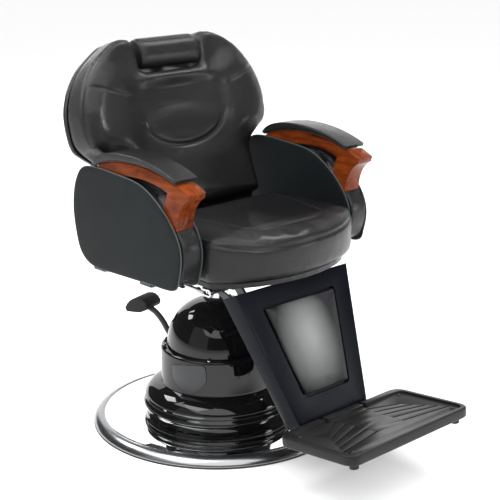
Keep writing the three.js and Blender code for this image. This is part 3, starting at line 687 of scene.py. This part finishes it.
class ChairLook(bpy.types.PropertyGroup):
    """Sizes and colours that a user would change."""

    seam_depth: FloatProperty(name="Seam depth", description="How deep a seam is pressed into the padding",
                              default=0.0035, unit="LENGTH")
    piping: FloatProperty(name="Piping radius", description="Radius of the welt round the arm panels",
                          default=0.0017, unit="LENGTH")
    fill: FloatProperty(name="Fill", description="How full the cushions are", default=0.85, min=0, max=1,
                        subtype="FACTOR")
    turned_sides: IntProperty(name="Turned sides", description="Sides of the turned base and hood",
                              default=96)
    leather: colour("Leather", "Colour of the seat and back leather", (0.003, 0.003, 0.0036))
    # The leg pad colour below is a painted highlight: the grey painted into the middle of the leg rest's
    # pad.
    pad_highlight_colour: colour("Leg pad leather", "Colour of the leg rest's pad", (0.20, 0.205, 0.205))
    badge: colour("Badge", "Colour of the blank badges on the hood", (0.022, 0.023, 0.025))
    vinyl: colour("Side vinyl", "Colour of the arm panels", (0.006, 0.008, 0.0085))
    wood_light: colour("Wood, light", "Light grain of the wooden arms", (0.215, 0.042, 0.007))
    wood_dark: colour("Wood, dark", "Dark grain of the wooden arms", (0.050, 0.008, 0.002))
    enamel: colour("Enamel", "Colour of the pump hood", (0.004, 0.004, 0.0045))
    chrome: colour("Chrome", "Colour of the bright metal", (0.82, 0.83, 0.84))
    rim: colour("Disc rim", "Colour of the disc's rolled rim", (0.26, 0.265, 0.27))
    rubber: colour("Rubber", "Colour of the rubber pieces", (0.016, 0.016, 0.017))
    leg_frame: colour("Leg rest frame", "Colour of the leg rest's frame", (0.002, 0.003, 0.0055))
    footplate: colour("Footplate", "Colour of the footplate", (0.008, 0.0078, 0.0076))
    floor: colour("Floor", "Colour of the floor", (0.90, 0.90, 0.90))


# ---- base and pump
class ChairBase(bpy.types.Operator):
    """The round disc with its rolled rim, and the rubber ring under it"""

    bl_idname = "chair.base"
    bl_label = "Base disc"

    def execute(self, context):
        look = context.scene.chair_look
        made = finishes(look)
        top = [(128, 26.8), (180, 25.9), (240, 24.9), (296, 24.0), (300, 23.4), (301.5, 22.6), (303, 23.6),
               (307, 24.0), (312, 22.9), (318, 19.8), (323, 15.6), (327, 10.2), (328.8, 6.2)]
        under = [(328.8, 4.2), (326.5, 4.1), (317, 13.5), (305, 19.8), (290, 21.2), (128, 24.2)]
        sides = look.turned_sides + 32
        disc = turn("disc", [*top, *under], sides)
        settle(disc, "base", made["disc"], ["base_cover"], 30)
        ring = turn("disc_gasket", eased([(304, 0.2), (329.6, 0.2), (329.6, 3.8), (304, 3.8)], 1.2), sides)
        settle(ring, "base", made["rubber"], ["base_gasket"])
        return {"FINISHED"}


class ChairHood(bpy.types.Operator):
    """The pump's hood: swaged ring, sleeve with two raised badges, dome and screws"""

    bl_idname = "chair.hood"
    bl_label = "Pump hood"

    def execute(self, context):
        look = context.scene.chair_look
        made = finishes(look)
        gloss = made["gloss"]
        outside = flowing([
            (189, 28), (189.5, 38), (192, 45), (196.6, 51), (196.8, 57), (192.5, 63), (190.3, 67),
            (191.8, 73), (192.6, 77), (190, 84), (182, 95), (170, 104), (157, 109.5),
            (150.8, 111.6)], 3, False)
        inside = [
            (147, 111.8), (147, 108), (175, 96), (188, 77), (186, 67), (191.5, 57), (188, 46), (185.5, 28)]
        settle(turn("hood_swage", [*outside, *inside], look.turned_sides), "base", gloss,
               ["hood_ring"], 50)
        sleeve = turn("hood_drum", [
            (147, 112.6), (151, 112.6), (150.6, 114), (150, 118), (150, 199), (149.4, 203), (147.6, 205.8),
            (145, 206.8), (127, 206.8), (127, 204), (144, 204), (147, 199)], look.turned_sides)
        slot = prism("slot", rectangle(12, 128, 172, 3), 146, 222, PUMP)
        settle(carve(sleeve, slot), "base", gloss, ["hood_sleeve"], 40)
        crown = flowing([
            (134, 207.6), (133.6, 214), (132.4, 226), (129, 244), (124, 260), (117, 274), (108.5, 288),
            (99, 299), (86, 310), (70, 320), (54, 326.5), (42, 329.6), (37, 330.2)], 3, False)
        lining = [
            (36.6, 327.6), (42, 327), (70, 317), (98, 296.4), (115, 271), (126, 245), (130, 224),
            (131, 207.6)]
        dome = turn("hood_cap", [*crown, *lining], look.turned_sides)
        settle(dome, "base", gloss, ["hood_dome"], 50)
        self.badges(made["badge"])
        self.screws(made["chrome"])
        return {"FINISHED"}

    def badges(self, badge_finish):
        """A blank D-shaped badge on each side of the sleeve, wrapped to its curve."""
        outline = eased([(-50, 41), (50, 24), (46, -16), (12, -44), (-16, -44), (-54, -8)], 15, 6)
        badge = prism("hood_badge_right", outline, 0, 5, rounding=1.6)
        for cut in range(-48, 49, 6):    # so that it can bend
            edit(badge)
            bpy.ops.mesh.bisect(plane_co=(cut * MM, 0, 0), plane_no=(1, 0, 0))
        leave_edit()
        middle, drum, height = math.radians(74), 150 * MM, 160 * MM
        sunk = 0.3 * MM
        for vertex in badge.data.vertices:
            x, y, z = vertex.co
            angle = middle + x / drum
            radius = drum - sunk + z * 0.75
            vertex.co = (-radius * math.sin(angle), -radius * math.cos(angle), height + y)
        badge.data.update()
        close_up(badge)
        twin = copied(badge, "hood_badge_left", MIRROR)
        for piece in (badge, twin):
            settle(piece, "base", badge_finish, angle=45)

    def screws(self, chrome):
        """Small screws round the step between sleeve and dome."""
        heads = []
        for degrees in (38, 142, 218, 322):
            angle = math.radians(degrees)
            deselect()
            bpy.ops.mesh.primitive_cylinder_add(vertices=20, radius=5.2 * MM, depth=3.4 * MM, location=(
                140.5 * MM * math.cos(angle), 140.5 * MM * math.sin(angle), 208.7 * MM))
            head = bpy.context.object
            fix_place()
            choose(head, lambda co: co.z > 209.5 * MM)
            bpy.ops.mesh.bevel(offset=1.2 * MM, segments=2, affect="EDGES")
            leave_edit()
            heads.append(head)
        settle(merged("hood_screws", *heads), "base", chrome)


class ChairPedal(bpy.types.Operator):
    """The ribbed pump pedal on its bent arm"""

    bl_idname = "chair.pedal"
    bl_label = "Pump pedal"

    def execute(self, context):
        made = finishes(context.scene.chair_look)
        crown = bend((204, 278), (208, 297), (228, 303), (246, 295.5), 22)
        crown += bend((246, 295.5), (261, 289.5), (273, 276), (275.5, 263), 16) + [(275.5, 263)]
        groove = 2.3
        ribbed = [(a, b - (groove if i % 4 == 1 else 0)) for i, (a, b) in enumerate(crown)]
        outline = [*ribbed, (270, 255), (248, 256.5), (226, 259), (208, 268)]
        pad = prism("pedal_tread", outline, -32.8, 32.8, PUMP @ SIDE_ON, 3.2)
        settle(pad, "pedal", made["rubber"], ["pedal_pad"], 50)
        return {"FINISHED"}


# ---- seat and arms
class ChairSeat(bpy.types.Operator):
    """The seat cushion, with its side seam and the stitched panel in its top"""

    bl_idname = "chair.seat"
    bl_label = "Seat cushion"

    def execute(self, context):
        look = context.scene.chair_look
        made = finishes(look)
        seat = stuffed("seat_upholstery", "seat_cushion", 0.5, 7, 8, 2 * look.fill, 4,
                       lambda co: co.z < 0.475 or co.y > 0.118)
        finer(seat)
        mould(seat, self.crown)
        seam = [(x * MM, y * MM, self.seam_height(y) * MM) for x, y in seat_outline(1)]
        sew(seat, seam, look.seam_depth / MM, 4.5)
        panel = flowing([(-150, 60), (-160, -60), (-140, -190), (-110, -262), (0, -268), (110, -262),
                         (140, -190), (160, -60), (150, 60)], 6, False)
        sew(seat, [(x * MM, y * MM, 0) for x, y in panel], 3.0, 4.5, from_above, Vector((0, 0, 1)))
        settle(seat, "seat", made["leather"], ["seat_cushion"], 80)
        return {"FINISHED"}

    def seam_height(self, y):
        """The side seam runs level and dips round the front."""
        return 571 - 20 * smoothstep(-215, -325, y)

    def crown(self, co, normal):
        """The top swells in the middle and rolls down to the front edge."""
        if co.z < 0.5:
            return Vector()
        share = smoothstep(0.52, 0.57, co.z)
        front = smoothstep(-0.235, -0.33, co.y)
        side = smoothstep(0.15, 0.244, abs(co.x))
        return Vector((0, 0, share * (0.004 - 0.012 * front - 0.006 * side)))


class ChairArms(bpy.types.Operator):
    """The two arms: vinyl panels with piping, leather band, bowed wood and padded top"""

    bl_idname = "chair.arms"
    bl_label = "Arms"

    def execute(self, context):
        look = context.scene.chair_look
        made = finishes(look)
        for name, face, way in (("inner", 250, -1), ("outer", 320, 1)):
            panel = prism(f"side_{name}_left", PANEL, face, face - 8 * way, SIDE_ON, 2.6)
            self.pillow(panel, face, way)
            line = [((face - 3 * way) * MM, y * MM, z * MM) for y, z in self.grown(PANEL, 0.6)]
            welt = tube(f"welt_{name}_left", line, look.piping / MM, closed=True)
            self.pair(panel, f"side_{name}", "grey_vinyl", made["vinyl"], [f"arm_panel_{name}"])
            # the welt's lighter finish is a painted highlight along the piping
            self.pair(welt, f"welt_{name}", "grey_vinyl", made["welt"], [])
        band = prism("band_left", BAND, 258.6, 311.4, SIDE_ON, 5)
        carve(band, prism("cutter", wood_outline(1.2), 250, 320, SIDE_ON))
        self.pair(band, "band", "black_leather", made["leather"], ["arm_core"])
        wood = prism("bow_left", wood_outline(0), 258.4, 311.6, SIDE_ON, 3.2)
        self.pair(wood, "bow", "mahogany", made["wood"], ["wood_arm"])
        self.pads(look, made)
        return {"FINISHED"}

    def grown(self, outline, amount):
        """The outline moved outwards a little."""
        line = []
        for i, point in enumerate(outline):
            along = Vector(outline[(i + 1) % len(outline)]) - Vector(outline[i - 1])
            out = Vector((along.y, -along.x)).normalized()
            line.append(tuple(Vector(point) + out * amount))
        return line

    def pillow(self, panel, face, way):
        """An inset lets the covered face of a panel swell a little."""
        choose(panel, lambda co: abs(co.x - face * MM) < WELD / 2, "FACE")
        bpy.ops.mesh.inset(thickness=12 * MM, depth=0)
        bpy.ops.transform.translate(value=(way * 0.7 * MM, 0, 0))
        leave_edit()

    def pair(self, left, name, slot, finish, nodes):
        """Finishes a piece of the left arm and its mirror image on the right."""
        right = copied(left, f"{name}_right", MIRROR)
        settle(left, "seat", finish, [f"{node}_left" for node in nodes], 45)
        settle(right, "seat", finish, [f"{node}_right" for node in nodes], 45)

    def pads(self, look, made):
        """The padded tops, each with a fine edge along both lower sides."""
        top = [*bend((97, 719), (80, 751), (20, 762), (-60, 759), 12),
               *bend((-60, 759), (-120, 756), (-170, 743), (-211, 725), 12), (-211, 725)]
        foot = [*bend((-208, 717), (-120, 756.5), (30, 746.5), (86, 715.5), 20), (86, 715.5)]
        pad = prism("arm_top_left", [*top, *foot], 249.5, 320.5, SIDE_ON, 4.5, segments=4)
        for x in (250.6, 319.4):
            line = [(x * MM, y * MM, (z + 0.8) * MM) for y, z in foot]
            pad = merged("arm_top_left", pad, tube("edge", line, look.piping * 0.7 / MM, rings=2))
        right = copied(pad, "arm_top_right", MIRROR)
        for piece, side in ((pad, "left"), (right, "right")):
            settle(piece, "seat", made["leather"], [f"arm_pad_{side}"], 55)


# ---- backrest and headrest
class ChairBack(bpy.types.Operator):
    """The backrest: wings, hollow middle, lumbar oval and side seam, over its back board"""

    bl_idname = "chair.back"
    bl_label = "Backrest"

    def execute(self, context):
        look = context.scene.chair_look
        made = finishes(look)
        home = BACK.inverted()
        back = stuffed("back_upholstery", "back_cushion", 0.3, 7.5, 7, 4 * look.fill, 8,
                       lambda co: (home @ co).y > 0.079)
        finer(back)
        back.data.transform(home)
        back.data.update()
        mould(back, self.relief)
        mould(back, self.tail)
        self.seams(back, look)
        put(back, BACK)
        settle(back, "back", made["leather"], ["back_cushion"], 80)
        return {"FINISHED"}

    def relief(self, co, normal):
        """How far the front of the backrest stands out, in its own place: x across, y deep, z up."""
        if co.y > 0.06:
            return Vector()
        x, h = abs(co.x) / MM, co.z / MM
        front = 1 - smoothstep(0.012, 0.05, co.y)
        upper = smoothstep(120, 215, h)
        wing = math.exp(-((x - 208) / 74) ** 2) * upper
        hollow = math.exp(-(x / 120) ** 2) * upper * (1 - smoothstep(318, 352, h))
        oval = 1 - smoothstep(0.45, 1.12, math.hypot(x / 134, (h - 220) / 60))
        ledge = math.exp(-((h - 350) / 22) ** 2) * (1 - smoothstep(95, 130, x))
        crease = math.exp(-((x - 132 - (h - 200) * 0.06) / 26) ** 2) * upper
        out = 12 * wing - 15 * hollow + 9 * oval + 6 * ledge - 2 * crease
        return Vector((0, -out * MM * front, 0))

    def tail(self, co, normal):
        """The rear of the lower edge is tucked down to the seat, and the rear of the notch rises."""
        deep = smoothstep(0.03, 0.06, co.y)
        low = 1 - smoothstep(0.005, 0.045, co.z)
        shelf = (1 - smoothstep(0.088, 0.102, abs(co.x))) * smoothstep(0.33, 0.362, co.z) * (co.z < 0.4)
        return Vector((0, 0, deep * (0.016 * shelf - 0.036 * low)))

    def seams(self, back, look):
        """The double seam under the lumbar oval, a pleat on each wing and the seams down the sides."""
        facing = Vector((0, -1, 0))
        under = [math.pi + i * math.pi / 30 for i in range(31)]
        for scale in (1.0, 1.08):
            wide, high = 128 * MM * scale, 66 * MM * scale
            oval = [(wide * math.cos(t), 0, 236 * MM + high * math.sin(t)) for t in under]
            sew(back, oval, look.seam_depth / MM * 0.9, 3.6, from_the_front, facing)
        for side in (-1, 1):
            pleat = flowing([(266, 344), (234, 333), (205, 322), (178, 315)], 6, False)
            sew(back, [(side * x * MM, 0, z * MM) for x, z in pleat], 3, 4, from_the_front, facing)
            rim = [(side * (x - 2) * MM, 0.013, (z - 1) * MM) for x, z in BACK_SIDE]
            sew(back, rim, look.seam_depth / MM * 1.5, 4.0)


class ChairHeadrest(bpy.types.Operator):
    """The headrest bolster with a welt round each end"""

    bl_idname = "chair.headrest"
    bl_label = "Headrest"

    def execute(self, context):
        look = context.scene.chair_look
        made = finishes(look)
        bolster = stuffed("headrest_roll", "headrest_bolster", 1, 4, 4, 4 * look.fill, 3.5,
                          lambda co: False)
        finer(bolster)
        home = BACK.inverted()
        bolster.data.transform(home)
        profile = flowing([(-12, 415), (-6, 437), (14, 453), (40, 449), (54, 427), (56, 405), (42, 380),
                           (16, 372), (-6, 385)])
        for x in (-90, 90):
            ring = [(x * MM, y * MM, z * MM) for y, z in [*profile, profile[0]]]
            sew(bolster, ring, 2.4, 3.4)
        put(bolster, BACK)
        settle(bolster, "headrest", made["leather"], ["headrest_bolster"], 80)
        return {"FINISHED"}


# ---- leg rest and footplate
class ChairLegRest(bpy.types.Operator):
    """The leg rest's moulded frame and the pad in its window"""

    bl_idname = "chair.leg_rest"
    bl_label = "Leg rest"

    def execute(self, context):
        look = context.scene.chair_look
        made = finishes(look)
        place = LEG @ FRONT_ON
        board = prism("leg_frame", leg_outline(0), -52, 0, rounding=5)
        hollow = prism("hollow", leg_outline(8), -80, -12)
        mouth = prism("mouth", [(-184, 34), (184, 34), (184, 70), (-184, 70)], -80, -12)
        window = prism("window", eased([(-126, 2), (-80, -236), (80, -236), (126, 2)], 14, 5), -9, 8)
        slots = [prism("slot", [(x - 5, -305), (x + 5, -305), (x + 5, -288), (x - 5, -288)], -37, -12)
                 for x in (-68, 68)]
        carve(board, hollow, mouth, window, *slots)
        soften(board, 2.2, 3)
        put(board, place)
        settle(board, "legrest", made["frame_plastic"], ["leg_shell"])
        self.pad(look, made)
        return {"FINISHED"}

    def pad(self, look, made):
        """The pad in the window, puffed out most in its middle."""
        home = LEG.inverted()
        pad = stuffed("leg_cushion", "leg_pad", 1.5, 3.6, 5, 4 * look.fill, 6,
                      lambda co: (home @ co).y > 0.006)
        finer(pad)
        pad.data.transform(home)

        def puff(co, normal):
            half = 121 - (2 - co.z / MM) * 0.193
            across = 1 - min(abs(co.x) / MM / half, 1) ** 2
            along = 1 - min(abs(co.z / MM + 117) / 117, 1) ** 2
            share = 1 - smoothstep(0.0, 0.006, co.y)
            return Vector((0, -0.009 * math.sqrt(max(across * along, 0)) * share, 0))

        mould(pad, puff)
        put(pad, LEG)
        settle(pad, "legrest", made["pad_leather"], ["leg_pad"], 80)


class ChairFootplate(bpy.types.Operator):
    """The folding footplate with its raised rim, fan of grooves, rivets and rubber feet"""

    bl_idname = "chair.footplate"
    bl_label = "Footplate"

    def execute(self, context):
        look = context.scene.chair_look
        made = finishes(look)
        plate = prism("foot_tray", rectangle(212, -218, 15, 34), -4, 21, rounding=4)
        tread = prism("tread", rectangle(199, -207, -8, 24), 15.4, 40)
        hollow = prism("hollow", rectangle(200, -206, 2, 24), -30, 9)
        barrel = eased([(-14, -8), (0, -11), (8, -9), (11, 0), (9, 9), (-14, 10)], 4)
        knuckle = prism("knuckle", barrel, -60, 60, SIDE_ON)
        ears = [prism("ear", rectangle(6, -16, 30, 2), -30, 30, Matrix.Translation((x * MM, 0, 0)))
                for x in (-68, 68)]
        carve(plate, tread, hollow)
        carve(plate, knuckle, operation="UNION")
        carve(plate, *ears, prism("bore", circle(5.3, 24), -90, 90, SIDE_ON))
        carve(plate, *self.grooves())
        soften(plate, 1.1, 2, 35)
        put(plate, FOOT)
        settle(plate, "footplate", made["foot_plastic"], ["footplate"])
        self.fittings(made)
        return {"FINISHED"}

    def grooves(self):
        """Grooves that fan out over both halves of the tread."""
        cutters = []
        for side in (-1, 1):
            for i in range(5):
                place = (Matrix.Translation((side * (92 + i * 5) * MM, (-44 - i * 28) * MM, 0))
                         @ Matrix.Rotation(side * (1.08 + i * 0.08), 4, "Z"))
                cutters.append(prism("groove", rectangle(2.1, -44 - i * 9, 44 + i * 6, 2), 12.6, 30, place))
        return cutters

    def fittings(self, made):
        """Four rivets in the tread and two rubber feet under it."""
        heads = []
        for x, y in ((-178, -186), (178, -186), (-178, -24), (178, -24)):
            deselect()
            bpy.ops.mesh.primitive_uv_sphere_add(segments=20, ring_count=10, radius=6.2 * MM)
            head = bpy.context.object
            bpy.ops.transform.resize(value=(1, 1, 0.45))
            bpy.ops.transform.translate(value=(x * MM, y * MM, 15.6 * MM))
            fix_place()
            heads.append(head)
        rivets = put(merged("foot_rivets", *heads), FOOT)
        settle(rivets, "footplate", made["foot_plastic"])
        for side, name in ((-1, "right"), (1, "left")):
            foot = prism(f"rubber_foot_{name}", circle(10.8, 28), -19.8, 8.4, rounding=2.4)
            put(foot, FOOT @ Matrix.Translation((side * 180 * MM, -192 * MM, 0)))
            settle(foot, "footplate", made["rubber"], [f"foot_bumper_{name}"])


# ---- metal frame
class ChairMetal(bpy.types.Operator):
    """Finishes of the frame pieces that are shown as they are"""

    bl_idname = "chair.metal"
    bl_label = "Frame finishes"

    def execute(self, context):
        made = finishes(context.scene.chair_look)
        by_slot = {
            "chrome": "chrome", "zinc_steel": "zinc", "black_steel": "black_steel", "cast_iron": "iron",
            "gloss_black": "gloss", "rubber": "rubber", "black_leather": "leather", "grey_vinyl": "vinyl",
            "padding": "leather", "back_board": "leather", "mahogany": "wood", "moulded": "frame_plastic"}
        slots = {part["node"]: part["material_slot"] for part in frame["record"]["subparts"]}
        for name, piece in NODES.items():
            finish = made[by_slot[slots[name]]]
            if not piece.material_slots:
                piece.data.materials.append(finish)
            for place in piece.material_slots:
                place.material = finish
        return {"FINISHED"}


# ---- stage
# Name, place, what it points at, width, height, power, and whether it casts shadows.
LAMPS = (
    ("overhead", (-1.3, 0.35, 2.7), (-0.1, 0, 0.4), 2.2, 1.9, 60, False),
    ("backdrop", (3.3, 3.4, 1.6), (0, 0, 0.2), 6.5, 3.2, 110, False),
    ("left", (-3.0, -0.1, 1.35), (0, -0.05, 0.9), 2.5, 2.3, 9, True),
    ("front right", (2.45, -3.0, 0.85), (0, 0, 0.7), 0.9, 1.1, 20, True),
    ("front", (0.3, -3.2, 2.0), (0, 0, 0.7), 0.6, 0.6, 38, True),
    ("right", (1.65, -0.45, 3.0), (0, 0, 0.7), 1.0, 1.0, 40, True),
    ("rear", (-0.9, 2.6, 2.9), (0, 0, 0.7), 1.4, 0.9, 55, True),
)


class ChairStage(bpy.types.Operator):
    """Floor, lights and camera"""

    bl_idname = "chair.stage"
    bl_label = "Stage"

    def execute(self, context):
        look = context.scene.chair_look
        deselect()
        bpy.ops.mesh.primitive_circle_add(vertices=64, radius=40, fill_type="NGON",
                                          location=(0, 0, -0.8 * MM))
        floor = context.object
        floor.name = "floor"
        pale = Finish("floor", look.floor, 0.6)
        pale.set(Base_Color=pale.tint(pale.noise(2, 2), shade(look.floor, 0.99), look.floor), IOR=1.05)
        floor.data.materials.append(pale.material)
        for lamp in LAMPS:
            self.light(*lamp)
        deselect()
        bpy.ops.object.light_add(type="SUN", location=(0, 0, 4))
        sun = context.object
        sun.rotation_euler = (math.radians(18), math.radians(-14), 0)
        sun.data.energy = 3.5
        sun.data.angle = math.radians(80)
        self.sky(context)
        self.camera(context)
        return {"FINISHED"}

    def light(self, name, place, target, width, height, power, shadows):
        """A soft rectangular lamp that the camera doesn't see."""
        deselect()
        bpy.ops.object.light_add(type="AREA", location=place)
        lamp = bpy.context.object
        lamp.name = name
        lamp.data.shape = "RECTANGLE"
        lamp.data.size = width
        lamp.data.size_y = height
        lamp.data.energy = power
        lamp.data.use_shadow = shadows
        lamp.visible_camera = False
        lamp.rotation_euler = (Vector(target) - Vector(place)).to_track_quat("-Z", "Y").to_euler()

    def sky(self, context):
        """A dim studio round the lights, in front of a bright backdrop."""
        world = bpy.data.worlds.new("studio")
        world.use_nodes = True
        tree = world.node_tree
        tree.nodes["Background"].inputs["Color"].default_value = (1, 1, 1, 1)
        strength = tree.nodes.new("ShaderNodeMapRange")
        strength.inputs["To Min"].default_value = 0.08
        strength.inputs["To Max"].default_value = 1.0
        seen = tree.nodes.new("ShaderNodeLightPath").outputs["Is Camera Ray"]
        tree.links.new(seen, strength.inputs["Value"])
        tree.links.new(strength.outputs["Result"], tree.nodes["Background"].inputs["Strength"])
        context.scene.world = world

    def camera(self, context):
        """A camera in front of the chair's right side, a little above the arms."""
        deselect()
        bpy.ops.object.camera_add(location=(-2.1576, -2.3630, 1.3790))
        camera = context.object
        downwards, round_column = 16.048, -43.894
        camera.rotation_euler = (math.radians(90 - downwards), 0, math.radians(round_column))
        camera.data.sensor_width = 36
        camera.data.lens = 93.32
        context.scene.camera = camera
        context.scene.view_settings.view_transform = "Standard"


PIECES = (ChairBase, ChairHood, ChairPedal, ChairSeat, ChairArms, ChairBack, ChairHeadrest, ChairLegRest,
          ChairFootplate, ChairMetal, ChairStage)


class ChairPanel(bpy.types.Panel):
    """Sizes, colours and pieces of the chair"""

    bl_idname = "VIEW3D_PT_barber_chair"
    bl_label = "Barber Chair"
    bl_space_type = "VIEW_3D"
    bl_region_type = "UI"
    bl_category = "Chair"

    def draw(self, context):
        look = context.scene.chair_look
        for name in ChairLook.__annotations__:
            self.layout.prop(look, name)
        for piece in PIECES:
            self.layout.operator(piece.bl_idname)


CLASSES = (ChairLook, *PIECES, ChairPanel)


def register():
    for made in CLASSES:
        bpy.utils.register_class(made)
    bpy.types.Scene.chair_look = PointerProperty(type=ChairLook)


def unregister():
    del bpy.types.Scene.chair_look
    for made in reversed(CLASSES):
        bpy.utils.unregister_class(made)


def main():
    register()
    for piece in PIECES:
        group, name = piece.bl_idname.split(".")
        getattr(getattr(bpy.ops, group), name)()


if __name__ == "__main__":
    main()
